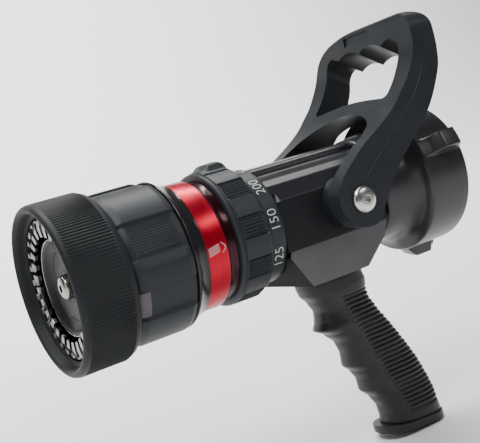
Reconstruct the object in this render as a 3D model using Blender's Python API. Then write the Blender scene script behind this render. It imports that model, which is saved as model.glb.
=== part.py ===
"""Selectable-flow fire hose nozzle with pistol grip and bail handle.

Frame: the waterway lies along X and the water leaves towards -X. The origin is
the centre of the hose coupling's rear face, +Z is up and -Y is the left side.
Lengths below are millimetres; place() turns them into metres.
Angles round the waterway run from the top (+Z) towards the left side (-Y).
"""
import math

import bmesh
import bpy
from mathutils import Matrix, Vector

MM = 0.001
GAP = 0.35            # clearance between neighbouring pieces
ROUND = 36            # segments of the large rings
INSIDE = 24           # segments of the inner rings
SMALL = 16            # segments of pins and screws

# Stations along the waterway, from the tip to the hose
X_TIP = -286.8
X_TEETH = -280.4
X_BAFFLE = -276.2
X_BUMPER_REAR = -251.0
X_SLEEVE_REAR = -213.0
X_COLLAR_REAR = -202.0
X_BAND_REAR = -187.0
X_SELECTOR_FRONT = -180.3
X_DETENT = -167.0
X_SELECTOR_REAR = -145.0
X_BODY_FRONT = -144.5
X_PIVOT = -96.0
X_BODY_REAR = -64.5
X_SWIVEL_FRONT = -61.5
X_RING_FRONT = -33.5

# Radii
R_BUMPER = 51.2
R_MOUTH = 45.0
R_PAD = 47.2
R_PANEL = 44.8
R_NOSE = 41.0
R_SLEEVE_BORE = 34.7
R_COLLAR = 41.6
R_BAND = 40.4
R_SELECTOR = 42.6
R_NUMBERS = 37.4
R_SELECTOR_BORE = 35.0
R_BARREL = 34.0
R_WATERWAY = 26.0
R_BAFFLE = 29.5
R_STEM = 5.6
R_BALL = 28.0
R_BALL_BORE = 19.5
R_CHAMBER = 30.0
R_TAIL = 31.5
R_RING = 48.5
R_LUG = 57.0
R_THREAD = 38.5
R_TRUNNION = 9.6

# Body, handle and grip
BODY_SIDE = 34.0
SADDLE_SIDE = 32.4
SADDLE_TOP = -19.6
SADDLE_BOTTOM = -44.6
BOSS_END = 41.5
LEG_INNER = 44.0
LEG_OUTER = 56.0
HANDLE_TOP = 108.0
ARCH_INNER = 52.0
BASE_SLOPE = -0.08            # the grip's foot drops towards the rear
SADDLE_SCREWS = (-116.0, -86.0)
R_LEG_END = 19.0

TOOTH_COUNT = 28
SELECTOR_PITCH = 36.0
LUG_ANGLES = (68.0, 188.0, 308.0)
SLEEVE_PADS = ((19, 55), (82, 105), (127, 163), (185, 208), (230, 266), (288, 311), (332, 355))

COLOURS = {
    "rubber": ((0.035, 0.036, 0.038), 0.75, 0.0),
    "polymer": ((0.045, 0.046, 0.050), 0.5, 0.0),
    "hardcoat": ((0.060, 0.061, 0.068), 0.35, 0.9),
    "satin_grey": ((0.17, 0.165, 0.175), 0.5, 0.6),
    "red": ((0.55, 0.02, 0.06), 0.25, 0.9),
    "violet_grey": ((0.16, 0.14, 0.18), 0.3, 0.9),
    "steel": ((0.62, 0.61, 0.59), 0.22, 1.0),
    "ptfe": ((0.85, 0.85, 0.82), 0.45, 0.0),
    "seal": ((0.02, 0.02, 0.02), 0.6, 0.0),
}


# ---------------------------------------------------------------- tools

def clear_scene():
    for item in list(bpy.data.objects):
        bpy.data.objects.remove(item, do_unlink=True)


def material(name):
    colour, roughness, metallic = COLOURS[name]
    mat = bpy.data.materials.new(name)
    mat.use_nodes = True
    shader = mat.node_tree.nodes["Principled BSDF"]
    shader.inputs["Base Color"].default_value = (*colour, 1.0)
    shader.inputs["Roughness"].default_value = roughness
    shader.inputs["Metallic"].default_value = metallic
    return mat


def place(name, bm, look, origin=(0, 0, 0), smooth_angle=32.0):
    """Turns a bmesh in millimetres into an object whose origin is at `origin`."""
    bmesh.ops.recalc_face_normals(bm, faces=bm.faces)
    bmesh.ops.transform(bm, matrix=Matrix.Translation(-Vector(origin)), verts=bm.verts)
    bmesh.ops.transform(bm, matrix=Matrix.Scale(MM, 4), verts=bm.verts)
    mesh = bpy.data.meshes.new(name)
    bm.to_mesh(mesh)
    bm.free()
    mesh.shade_smooth()
    mesh.set_sharp_from_angle(angle=math.radians(smooth_angle))
    mesh.materials.append(material(look))
    obj = bpy.data.objects.new(name, mesh)
    obj.location = Vector(origin) * MM
    bpy.context.scene.collection.objects.link(obj)
    return obj


def shape(obj, operation, *tools):
    """Boolean with hidden tool objects, kept as modifiers."""
    for index, (bm, label) in enumerate(tools):
        tool = place("tool_%s_%s" % (obj.name, label), bm, "hardcoat")
        tool.hide_render = True
        tool.display_type = "WIRE"
        modifier = obj.modifiers.new("%s_%d" % (label, index), "BOOLEAN")
        modifier.object = tool
        modifier.operation = operation
        modifier.solver = "EXACT"


def polar(radius, angle):
    turn = math.radians(angle)
    return -radius * math.sin(turn), radius * math.cos(turn)


def full_turn(count):
    return [360.0 * i / count for i in range(count)]


def turned(profile, angles, radius=None):
    """Ring from a closed (x, r) profile; radius(i, r, angle) may vary it."""
    bm = bmesh.new()
    rings = []
    for angle in angles:
        ring = []
        for i, (x, r) in enumerate(profile):
            here = radius(i, r, angle) if radius else r
            ring.append(bm.verts.new((x, *polar(here, angle))))
        rings.append(ring)
    count = len(profile)
    for a, b in zip(rings, rings[1:] + rings[:1]):
        for i in range(count):
            j = (i + 1) % count
            bm.faces.new((a[i], a[j], b[j], b[i]))
    return bm


def rod(profile, count):
    """Solid of revolution whose (x, r) profile starts and ends on the axis."""
    bm = bmesh.new()
    start = bm.verts.new((profile[0][0], 0, 0))
    end = bm.verts.new((profile[-1][0], 0, 0))
    inner = profile[1:-1]
    rings = []
    for angle in full_turn(count):
        rings.append([bm.verts.new((x, *polar(r, angle))) for x, r in inner])
    for a, b in zip(rings, rings[1:] + rings[:1]):
        bm.faces.new((start, a[0], b[0]))
        for i in range(len(inner) - 1):
            bm.faces.new((a[i], a[i + 1], b[i + 1], b[i]))
        bm.faces.new((a[-1], end, b[-1]))
    return bm


def aim(bm, point, direction):
    """Moves a solid made along X so that its x = 0 is at point, along direction."""
    turn = Vector((1, 0, 0)).rotation_difference(Vector(direction).normalized())
    bmesh.ops.transform(bm, matrix=Matrix.Translation(point) @ turn.to_matrix().to_4x4(), verts=bm.verts)
    return bm


def cylinder(radius, length, count, point, direction):
    return aim(rod([(0, 0), (0, radius), (length, radius), (length, 0)], count), point, direction)


def prism(outline, low, high, axis):
    """Extrudes a closed outline along one axis; the outline is in the other two."""
    bm = bmesh.new()
    points = {
        "x": lambda a, b, c: (c, a, b),
        "y": lambda a, b, c: (a, c, b),
        "z": lambda a, b, c: (a, b, c),
    }[axis]
    lower = [bm.verts.new(points(a, b, low)) for a, b in outline]
    upper = [bm.verts.new(points(a, b, high)) for a, b in outline]
    bm.faces.new(lower)
    bm.faces.new(list(reversed(upper)))
    for i in range(len(outline)):
        j = (i + 1) % len(outline)
        bm.faces.new((lower[i], upper[i], upper[j], lower[j]))
    return bm


def box(low, high):
    outline = [(low[0], low[1]), (high[0], low[1]), (high[0], high[1]), (low[0], high[1])]
    return prism(outline, low[2], high[2], "z")


def arc(centre, radius, start, stop, steps):
    """Points of an arc, angles in degrees from the first axis."""
    points = []
    for i in range(steps + 1):
        turn = math.radians(start + (stop - start) * i / steps)
        points.append((centre[0] + radius * math.cos(turn), centre[1] + radius * math.sin(turn)))
    return points


def mirrored(half):
    """Closed outline from its +half, whose first and last points may be on the middle."""
    return half + [(-a, b) for a, b in reversed(half) if abs(a) > 1e-6]


def seal_ring(x, radius, section, count):
    profile = [(x + section * math.cos(t), radius + section * math.sin(t))
               for t in (math.pi * i / 3 for i in range(6))]
    return turned(profile, full_turn(count))


# ---------------------------------------------------------------- front end

def front_bumper():
    profile = [
        (X_TIP + 4.0, R_BUMPER), (X_BUMPER_REAR - 3.5, R_BUMPER), (X_BUMPER_REAR - 0.8, R_BUMPER - 1.2),
        (X_BUMPER_REAR, R_BUMPER - 3.4), (X_BUMPER_REAR, R_NOSE + 0.4), (-273.6, R_NOSE + 0.4),
        (-273.6, 44.4), (-278.3, 44.4), (-278.3, 42.8), (X_TEETH + 0.4, 42.8), (X_TEETH, R_MOUTH),
        (X_TIP + 2.6, 45.6), (X_TIP, 48.0), (X_TIP + 1.0, 50.0),
    ]
    place("front_bumper", turned(profile, full_turn(ROUND)), "rubber")


def pad_stations():
    """Angles round the sleeve and whether each lies on a raised pad."""
    stations = []
    for index, (start, stop) in enumerate(SLEEVE_PADS):
        following = SLEEVE_PADS[(index + 1) % len(SLEEVE_PADS)][0]
        if following < stop:
            following += 360
        steps = 3 if stop - start > 30 else 2
        for i in range(steps + 1):
            stations.append((start + 1.5 + (stop - start - 3) * i / steps, True))
        stations += [(stop, False), ((stop + following) / 2, False), (following, False)]
    return stations


def pattern_sleeve():
    stations = pad_stations()
    on_pad = dict(stations)
    front, rear = X_BUMPER_REAR + GAP, X_SLEEVE_REAR
    # (x, radius on a panel, radius on a pad)
    outer = [
        (front, 43.6, 45.6), (front + 3.4, R_PANEL, R_PAD), (rear - 5.0, R_PANEL, R_PAD),
        (rear - 0.4, R_PANEL - 0.4, R_PAD - 1.6),
    ]
    inner = [
        (rear, 43.5), (rear, R_SLEEVE_BORE), (-222.5, R_SLEEVE_BORE), (-222.5, 37.2), (-231.5, 37.2),
        (-231.5, R_SLEEVE_BORE), (-257.0, R_SLEEVE_BORE), (-262.0, 36.8), (-273.7, 36.8),
        (-273.7, R_NOSE), (front, R_NOSE),
    ]
    profile = [(x, panel) for x, panel, _ in outer] + inner

    def radius(i, r, angle):
        return outer[i][2] if i < len(outer) and on_pad[angle] else r

    bm = turned(profile, [angle for angle, _ in stations], radius)
    place("pattern_sleeve", bm, "polymer")


def pattern_carrier():
    """Ring that the barrel's cam pushes along; the sleeve turns round it."""
    profile = [(-230.8, 34.5), (-230.8, 36.4), (-223.2, 36.4), (-223.2, 34.5)]
    place("pattern_carrier", turned(profile, full_turn(INSIDE)), "steel")


def sleeve_collar():
    front = X_SLEEVE_REAR + GAP
    profile = [
        (front, 35.2), (front, 46.0), (front + 1.2, 45.4), (front + 3.6, 43.9), (front + 6.0, 42.4),
        (front + 8.2, R_COLLAR), (X_COLLAR_REAR, R_COLLAR), (X_COLLAR_REAR, R_BAND + 0.4),
        (front + 3.4, R_BAND + 0.4), (front + 2.2, 35.2),
    ]
    place("sleeve_collar", turned(profile, full_turn(ROUND)), "violet_grey")


def spinning_teeth():
    """Toothed ring that breaks the stream into droplets; it spins in the bumper."""
    pitch = 360.0 / TOOTH_COUNT
    angles = []
    for i in range(TOOTH_COUNT):
        angles += [(i + part) * pitch for part in (-0.27, 0.27, 0.5)]
    on_tooth = {angle: index % 3 < 2 for index, angle in enumerate(angles)}
    profile = [(X_TEETH, 0), (-274.0, 0), (-274.0, 43.9), (-278.0, 43.9), (-278.0, 42.3), (X_TEETH, 42.3)]

    def radius(i, r, angle):
        if i > 1:
            return r
        return 31.0 if on_tooth[angle] else 37.2

    place("spinning_teeth", turned(profile, angles, radius), "steel")


def baffle_head():
    bore = R_STEM - 0.2
    profile = [
        (-272.6, bore), (-272.6, 22.5), (-275.6, 27.4), (X_BAFFLE, R_BAFFLE - 0.5), (-274.6, R_BAFFLE),
        (-270.5, 28.4), (-264.0, 17.0), (-262.0, 9.0), (-262.0, bore),
    ]
    place("baffle_head", turned(profile, full_turn(28)), "polymer")


def baffle_screw():
    profile = [(-277.6, 0), (-277.4, 5.0), (-276.4, 7.0), (-272.95, 7.4), (-272.95, 5.0), (-266.4, 5.0),
               (-266.4, 0)]
    place("baffle_screw", rod(profile, SMALL), "steel")
    hexagon = arc((0, 0), 2.9, 0, 300, 5)
    shape(bpy.data.objects["baffle_screw"], "DIFFERENCE", (prism(hexagon, -280.0, -274.2, "x"), "socket"))


def baffle_stem():
    """Rod that carries the baffle and slides in the spider as the flow is set."""
    profile = [(-266.0, 0), (-266.0, 5.0), (-261.6, 5.0), (-261.6, 8.4), (-258.0, 8.4), (-255.0, R_STEM),
               (-162.0, R_STEM), (-162.0, 0)]
    place("baffle_stem", rod(profile, SMALL), "steel")


def flow_plug():
    """Metering cone on the stem."""
    profile = [(-254.4, 6.1), (-254.4, 9.0), (-243.0, 18.0), (-238.0, 18.0), (-228.0, 9.0), (-228.0, 6.1)]
    place("flow_plug", turned(profile, full_turn(24)), "hardcoat")


def flow_drive_pin():
    """Links the flow selector's groove to the stem through a slot in the barrel."""
    place("flow_drive_pin", cylinder(2.0, 29.8, 12, (X_DETENT, 0, -6.1), (0, 0, -1)), "steel")


# ---------------------------------------------------------------- barrel

def barrel_tube():
    profile = [
        (-265.0, 31.0), (-262.5, R_BARREL), (-237.0, R_BARREL), (-237.0, 32.0), (-233.4, 32.0),
        (-233.4, R_BARREL), (-201.4, R_BARREL), (-201.4, 38.0), (-186.9, 38.0), (-186.9, 34.6),
        (-145.2, 34.6), (-145.2, 29.5), (-124.4, 29.5), (-124.4, R_WATERWAY), (-258.0, R_WATERWAY),
        (-265.0, 30.2),
    ]
    barrel = place("barrel_tube", turned(profile, full_turn(INSIDE)), "hardcoat")
    slot = prism([(-173.4, -2.5), (-161.8, -2.5), (-161.8, 2.5), (-173.4, 2.5)], -40.0, -20.0, "z")
    pocket = cylinder(2.4, 12.0, 12, (X_DETENT, 0, 28.6), (0, 0, 1))
    shape(barrel, "DIFFERENCE", (slot, "pin_slot"), (pocket, "detent_pocket"))


def barrel_seal():
    place("barrel_seal", seal_ring(-235.2, 33.4, 0.95, INSIDE), "seal")


def colour_band():
    front = -201.6
    profile = [(front, 38.4), (front, R_BAND), (X_BAND_REAR - 0.8, R_BAND), (X_BAND_REAR, R_BAND - 0.8),
               (X_BAND_REAR, 38.4)]
    place("colour_band", turned(profile, full_turn(ROUND)), "red")


def band_lock_ring():
    front, rear = X_BAND_REAR + GAP, X_SELECTOR_FRONT - GAP
    profile = [(front, 35.0), (front, 39.4), (front + 2.2, 38.7), (rear, 39.1), (rear, 35.0)]
    place("band_lock_ring", turned(profile, full_turn(ROUND)), "hardcoat")


def stem_spider():
    """Hub and three vanes that hold the stem in the middle of the waterway."""
    ring = turned([(-204, 22.6), (-204, 25.6), (-184, 25.6), (-184, 22.6)], full_turn(24))
    spider = place("stem_spider", ring, "hardcoat")
    hub = turned([(-208, 6.1), (-208, 9.0), (-182, 10.0), (-182, 6.1)], full_turn(SMALL))
    tools = [(hub, "hub")]
    for i in range(3):
        bm = box((-202, -1.3, 7.6), (-186, 1.3, 23.6))
        bmesh.ops.transform(bm, matrix=Matrix.Rotation(math.radians(120 * i), 4, "X"), verts=bm.verts)
        tools.append((bm, "vane%d" % i))
    shape(spider, "UNION", *tools)


# ---------------------------------------------------------------- flow selector

def selector_stations():
    """Ten low panels between ten pads, with the thumb lug in place of the top pad."""
    stations = []
    for i in range(10):
        middle = 48.0 + SELECTOR_PITCH * i
        for offset, kind in ((-8.5, "panel"), (0.0, "panel"), (8.5, "panel"), (9.8, "pad"), (18.0, "pad"),
                             (26.2, "pad")):
            angle = (middle + offset) % 360
            if 19 < angle < 341:
                stations.append((angle, kind))
    stations += [(342.0, "pad"), (346.0, "pad"), (18.0, "pad"), (14.0, "pad")]
    stations += [(351.0, "lug"), (0.0, "lug"), (9.0, "lug")]
    return sorted(stations)


def flow_selector_ring():
    stations = selector_stations()
    kind_at = dict(stations)
    front, rear = X_SELECTOR_FRONT, X_SELECTOR_REAR
    # (x, panel, pad, lug)
    outer = [
        (front, 42.3, 42.3, 42.3), (front + 2.0, 42.6, 42.6, 42.6), (front + 3.0, 41.4, 41.4, 41.4),
        (front + 4.2, 41.6, R_SELECTOR, 42.8), (front + 11.0, 41.6, R_SELECTOR, 46.3),
        (rear - 13.5, 41.6, R_SELECTOR, 45.6), (rear - 10.0, 38.2, 38.2, 42.6),
        (rear - 8.0, R_NUMBERS, R_NUMBERS, 38.4), (rear, R_NUMBERS, R_NUMBERS, R_NUMBERS),
    ]
    inner = [(rear, R_SELECTOR_BORE), (-161.6, R_SELECTOR_BORE), (-161.6, 36.4), (-173.6, 36.4),
             (-173.6, R_SELECTOR_BORE), (front, R_SELECTOR_BORE)]
    column = {"panel": 1, "pad": 2, "lug": 3}
    profile = [(row[0], row[1]) for row in outer] + inner

    def radius(i, r, angle):
        return outer[i][column[kind_at[angle]]] if i < len(outer) else r

    bm = turned(profile, [angle for angle, _ in stations], radius)
    place("flow_selector_ring", bm, "polymer")


def detent_ball():
    profile = [(-1.9 * math.cos(t), 1.9 * math.sin(t)) for t in (math.pi * i / 6 for i in range(7))]
    profile[0] = (-1.9, 0)
    profile[-1] = (1.9, 0)
    place("detent_ball", aim(rod(profile, 12), (X_DETENT, 0, 33.9), (0, 0, 1)), "steel")


def detent_spring():
    """Short coil under the detent ball."""
    turns, steps, wire, coil = 2, 10, 0.32, 1.6
    bm = bmesh.new()
    rings = []
    for i in range(turns * steps + 1):
        turn = 2 * math.pi * i / steps
        out = Vector((math.cos(turn), math.sin(turn), 0))
        centre = Vector((X_DETENT, 0, 29.1 + 2.3 * i / (turns * steps))) + coil * out
        rings.append([bm.verts.new(centre + wire * (out * math.cos(a) + Vector((0, 0, math.sin(a)))))
                      for a in (math.pi * k / 2 for k in range(4))])
    for a, b in zip(rings, rings[1:]):
        for k in range(4):
            bm.faces.new((a[k], a[(k + 1) % 4], b[(k + 1) % 4], b[k]))
    bm.faces.new(rings[0])
    bm.faces.new(rings[-1])
    place("detent_spring", bm, "steel")


# ---------------------------------------------------------------- valve body

def valve_body():
    half = [(0.0, 35.6), (6.5, 35.0), (9.8, 32.8), (10.8, 29.6), (15.0, 27.8), (21.0, 26.4), (27.0, 22.6),
            (32.0, 15.6), (BODY_SIDE, 12.6), (BODY_SIDE, SADDLE_TOP + GAP), (28.0, SADDLE_TOP + GAP)]
    half += arc((0, 0), R_BARREL + 0.4, -36.5, -90.0, 5)[:-1] + [(0.0, -R_BARREL - 0.4)]
    body = place("valve_body", prism(mirrored(half), X_BODY_FRONT, X_BODY_REAR, "x"), "hardcoat")
    added = [(cylinder(16.5, 11.0, 24, (X_PIVOT, side * 30.5, 0), (0, side, 0)), label)
             for side, label in ((-1, "boss_left"), (1, "boss_right"))]
    pointer = [(-143.6, 13.4), (-136.5, 15.4), (-136.5, 17.4), (-143.6, 19.4)]
    added.append((prism(pointer, -34.6, -28.0, "y"), "pointer"))
    shape(body, "UNION", *added)
    removed = [
        (cylinder(R_CHAMBER, 100.0, 28, (-150, 0, 0), (1, 0, 0)), "chamber"),
        (cylinder(R_TRUNNION + 0.4, 140.0, 20, (X_PIVOT, -70, 0), (0, 1, 0)), "trunnion_hole"),
    ]
    removed += [(cylinder(2.3, 8.0, 12, (x, 0, -31.4), (0, 0, -1)), "screw_hole%d" % -x) for x in SADDLE_SCREWS]
    shape(body, "DIFFERENCE", *removed)


def grip_axis():
    """Foot of the grip bolt and its direction up through the grip."""
    foot = Vector((-66.0, 0.0, -164.0))
    return foot, (Vector((-98.0, 0.0, -38.0)) - foot).normalized()


def grip_saddle():
    side = [(-142.0, SADDLE_TOP), (-64.8, SADDLE_TOP), (-69.0, -29.0), (-88.0, SADDLE_BOTTOM),
            (-132.5, SADDLE_BOTTOM), (-143.5, -23.0)]
    saddle = place("grip_saddle", prism(side, -SADDLE_SIDE, SADDLE_SIDE, "y"), "satin_grey")
    front = mirrored([(SADDLE_SIDE + 1, -10.0), (SADDLE_SIDE + 1, -38.0), (26.0, SADDLE_BOTTOM - 1.0)])
    shape(saddle, "INTERSECT", (prism(front, -150.0, -60.0, "x"), "section"))
    foot, up = grip_axis()
    removed = [(cylinder(R_BARREL + 0.9, 100.0, 36, (-155, 0, 0), (1, 0, 0)), "cradle"),
               (cylinder(3.5, 14.0, 16, tuple(foot + up * 118.5), tuple(up)), "bolt_hole")]
    for x in SADDLE_SCREWS:
        removed.append((cylinder(2.3, 30.0, 12, (x, 0, -25.0), (0, 0, -1)), "screw_hole%d" % -x))
        removed.append((cylinder(4.4, 10.0, 16, (x, 0, -39.5), (0, 0, -1)), "counterbore%d" % -x))
    shape(saddle, "DIFFERENCE", *removed)


def saddle_screw(name, x):
    """Short screw up through the saddle into the body."""
    profile = [(0, 0), (0, 3.4), (2.4, 3.9), (2.4, 1.95), (10.4, 1.95), (10.4, 0)]
    place(name, aim(rod(profile, 12), (x, 0, -42.2), (0, 0, 1)), "steel")


def pistol_grip():
    # (height, front x, back x, half width)
    rows = [
        (-45.0, -123.4, -75.2, 15.6), (-50.0, -123.0, -75.4, 16.0), (-55.0, -121.9, -74.4, 16.0),
        (-61.0, -117.4, -75.6, 15.6), (-68.0, -114.7, -75.0, 15.2), (-75.0, -116.0, -71.6, 15.2),
        (-80.0, -118.6, -69.0, 15.2), (-85.0, -111.2, -66.2, 15.2), (-92.5, -104.9, -62.0, 15.0),
        (-100.5, -103.0, -57.8, 15.0), (-109.5, -103.6, -53.2, 15.0), (-114.7, -99.0, -50.9, 15.0),
        (-121.5, -95.9, -47.9, 15.0), (-129.5, -95.4, -45.2, 15.0), (-137.0, -88.8, -43.0, 15.0),
        (-145.0, -84.9, -41.2, 15.2), (-153.0, -83.9, -40.6, 15.4), (-158.0, -84.6, -40.2, 15.6),
    ]
    count = 14
    bm = bmesh.new()
    rings = []
    for index, (z, front, back, width) in enumerate(rows):
        ring = []
        for k in range(count):
            turn = 2 * math.pi * (k + 0.5) / count
            c, s = math.cos(turn), math.sin(turn)
            x = (front + back) / 2 + math.copysign(abs(c) ** 0.7, c) * (back - front) / 2 * 1.018
            y = math.copysign(abs(s) ** 0.75, s) * width
            drop = BASE_SLOPE * (x + 70.0) if index == len(rows) - 1 else 0.0
            ring.append(bm.verts.new((x, y, z + drop)))
        rings.append(ring)
    for a, b in zip(rings, rings[1:]):
        for k in range(count):
            bm.faces.new((a[k], a[(k + 1) % count], b[(k + 1) % count], b[k]))
    bm.faces.new(rings[0])
    bm.faces.new(rings[-1])
    grip = place("pistol_grip", bm, "polymer")
    foot, up = grip_axis()
    shape(grip, "DIFFERENCE", (cylinder(3.6, 150.0, 16, tuple(foot - up * 6), tuple(up)), "bolt_bore"))


def grip_base():
    outline = arc((-74.5, 0), 17.0, 90, 270, 8) + arc((-55.5, 0), 17.0, -90, 90, 8)
    bm = prism(outline, -163.8, -158.5, "z")
    for vert in bm.verts:
        vert.co.z += BASE_SLOPE * (vert.co.x + 70.0)
    base = place("grip_base", bm, "polymer")
    foot, up = grip_axis()
    shape(base, "DIFFERENCE",
          (cylinder(3.6, 30.0, 16, tuple(foot - up * 10), tuple(up)), "bolt_hole"),
          (cylinder(6.4, 14.0, 20, tuple(foot - up * 10.5), tuple(up)), "counterbore"))


def grip_bolt():
    foot, up = grip_axis()
    profile = [(0, 0), (0, 5.6), (2.6, 5.6), (2.6, 3.1), (130.0, 3.1), (130.0, 0)]
    place("grip_bolt", aim(rod(profile, 14), tuple(foot + up * 0.6), tuple(up)), "steel")


# ---------------------------------------------------------------- ball valve and handle

def valve_ball():
    profile = [(-R_BALL * math.cos(t), R_BALL * math.sin(t)) for t in (math.pi * i / 10 for i in range(11))]
    profile[0] = (-R_BALL, 0)
    profile[-1] = (R_BALL, 0)
    bm = aim(rod(profile, 20), (X_PIVOT, 0, 0), (0, 1, 0))
    ball = place("valve_ball", bm, "steel", origin=(X_PIVOT, 0, 0))
    slots = [(box((X_PIVOT - 10.4, y, -5.0), (X_PIVOT + 10.4, y + 8.0, 5.0)), label)
             for y, label in ((22.4, "slot_right"), (-30.4, "slot_left"))]
    shape(ball, "DIFFERENCE", (cylinder(R_BALL_BORE, 80.0, 24, (X_PIVOT - 40, 0, 0), (1, 0, 0)), "bore"), *slots)


def ball_seat(name, direction):
    """PTFE ring against the ball; direction is -1 in front of it and 1 behind it."""
    profile = [(X_PIVOT + direction * 28.0, 20.6), (X_PIVOT + direction * 28.0, 29.5),
               (X_PIVOT + direction * 16.0, 29.5), (X_PIVOT + direction * 16.0, 23.7),
               (X_PIVOT + direction * 19.5, 20.7)]
    place(name, turned(profile, full_turn(INSIDE)), "ptfe")


def trunnion(name, side):
    """Shaft that turns the ball with the handle."""
    profile = [(0, 0), (0, R_TRUNNION), (2.6, R_TRUNNION), (2.6, 7.9), (5.2, 7.9), (5.2, R_TRUNNION),
               (13.2, R_TRUNNION), (13.2, 5.9), (19.4, 5.9), (19.4, 0)]
    bm = aim(rod(profile, SMALL), (X_PIVOT, side * 30.4, 0), (0, side, 0))
    obj = place(name, bm, "steel", origin=(X_PIVOT, 0, 0))
    low, high = sorted((side * 22.8, side * 31.4))
    shape(obj, "UNION", (box((X_PIVOT - 8.4, low, -4.5), (X_PIVOT + 8.4, high, 4.5)), "tang"))
    shape(obj, "DIFFERENCE",
          (cylinder(3.4, 16.0, 12, (X_PIVOT, side * 37.0, 0), (0, side, 0)), "thread"))


def trunnion_seal(name, side):
    bm = aim(seal_ring(0, 8.95, 0.8, 18), (X_PIVOT, side * 34.3, 0), (0, side, 0))
    place(name, bm, "seal", origin=(X_PIVOT, 0, 0))


def thrust_washer(name, side):
    bm = turned([(0, 10.2), (0, 15.2), (1.8, 15.2), (1.8, 10.2)], full_turn(SMALL))
    place(name, aim(bm, (X_PIVOT, side * (BOSS_END + 0.35), 0), (0, side, 0)), "ptfe")


def pivot_bolt(name, side):
    profile = [(0, 0), (0, 3.05), (18.0, 3.05), (18.0, 8.6), (20.2, 8.2), (22.0, 5.6), (22.0, 0)]
    bm = aim(rod(profile, SMALL), (X_PIVOT, side * (LEG_OUTER + 0.3 - 18.0), 0), (0, side, 0))
    bolt = place(name, bm, "steel", origin=(X_PIVOT, 0, 0))
    hexagon = [(X_PIVOT + a, b) for a, b in arc((0, 0), 3.2, 0, 300, 5)]
    low, high = sorted((side * (LEG_OUTER + 1.4), side * (LEG_OUTER + 8.0)))
    shape(bolt, "DIFFERENCE", (prism(hexagon, low, high, "y"), "socket"))


def handle_side():
    """Handle outline seen from the left, round the pivot end first."""
    rear = [(-85.0, -13.5), (-75.0, 0.0), (-61.0, 14.5), (-47.0, 26.0), (-26.0, 44.0), (-11.5, 65.0),
            (-8.0, 78.0), (-8.2, 92.0), (-11.0, 102.5), (-15.5, HANDLE_TOP - 0.8), (-19.5, HANDLE_TOP)]
    front = [(-23.5, HANDLE_TOP - 0.8), (-25.5, 104.5), (-26.0, 95.0), (-27.5, 82.0), (-37.0, 67.0),
             (-48.0, 56.0), (-56.0, 49.0), (-69.0, 41.0), (-84.0, 33.0), (-95.0, 25.5), (-107.0, 16.0)]
    end = arc((-95.0, 1.5), R_LEG_END, 158, 290, 7)
    return rear + front + end


def bail_handle():
    handle = place("bail_handle", prism(handle_side(), -LEG_OUTER, LEG_OUTER, "y"), "polymer",
                   origin=(X_PIVOT, 0, 0))
    outside = mirrored([(0.0, HANDLE_TOP + 1), (38.0, HANDLE_TOP + 1)]
                       + arc((38.0, 91.0), 18.0, 72, 0, 4) + [(LEG_OUTER, -25.0), (0.0, -25.0)])
    hole_top = [(y, 83.6 - 1.7 * abs(math.cos(math.pi * y / 24.0))) for y in range(36, -37, -6)]
    hole = ([(-36, 55.0), (-20, 58.6), (0, 60.0), (20, 58.6), (36, 55.0), (41.0, 55.0), (41.0, 78.0)]
            + hole_top + [(-41.0, 78.0), (-41.0, 55.0)])
    under = [(LEG_INNER, -30.0), (LEG_INNER, 26.0)] + arc((0, 0), ARCH_INNER, 33, 147, 10)
    under += [(-LEG_INNER, 26.0), (-LEG_INNER, -30.0)]
    web_back = [(-66.0, 24.0), (-64.0, 36.0), (-51.0, 44.0), (-43.0, 51.0), (-30.0, 64.0), (2.0, 64.0),
                (2.0, 24.0)]
    shape(handle, "INTERSECT", (prism(outside, -130.0, 10.0, "x"), "outline"))
    tools = [
        (prism(hole, -130.0, 10.0, "x"), "hand_hole"),
        (prism(under, -130.0, 10.0, "x"), "under_arch"),
        (prism(web_back, -41.0, 41.0, "y"), "web_back"),
        (box((-30.0, -20.0, 97.5), (-24.8, 12.0, 105.5)), "plate_recess"),
    ]
    for side, label in ((-1, "left"), (1, "right")):
        tools.append((cylinder(6.2, 16.0, SMALL, (X_PIVOT, side * 34.2, 0), (0, side, 0)), "socket_" + label))
        tools.append((cylinder(3.5, 30.0, 14, (X_PIVOT, side * 34.0, 0), (0, side, 0)), "bolt_hole_" + label))
    shape(handle, "DIFFERENCE", *tools)


# ---------------------------------------------------------------- hose swivel

def swivel_tail():
    profile = [
        (-67.6, 20.8), (-67.6, 29.5), (-64.1, 29.5), (-64.1, R_TAIL), (-53.8, R_TAIL), (-53.8, 30.1),
        (-50.4, 30.1), (-50.4, R_TAIL), (-27.4, R_TAIL), (-27.4, 26.0), (-31.0, 26.0), (-31.0, 23.6),
    ]
    place("swivel_tail", turned(profile, full_turn(INSIDE)), "hardcoat")


def swivel_race_ring():
    place("swivel_race_ring", seal_ring(-52.1, 31.65, 1.15, INSIDE), "steel")


def coupling_stations():
    angles = {}
    for i in range(24):
        angles[15.0 * i] = False
    for centre in LUG_ANGLES:
        for angle in list(angles):
            if abs((angle - centre + 180) % 360 - 180) < 12:
                del angles[angle]
        for offset, on_lug in ((-9.0, False), (-6.5, True), (6.5, True), (9.0, False)):
            angles[(centre + offset) % 360] = on_lug
    return sorted(angles.items())


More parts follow.
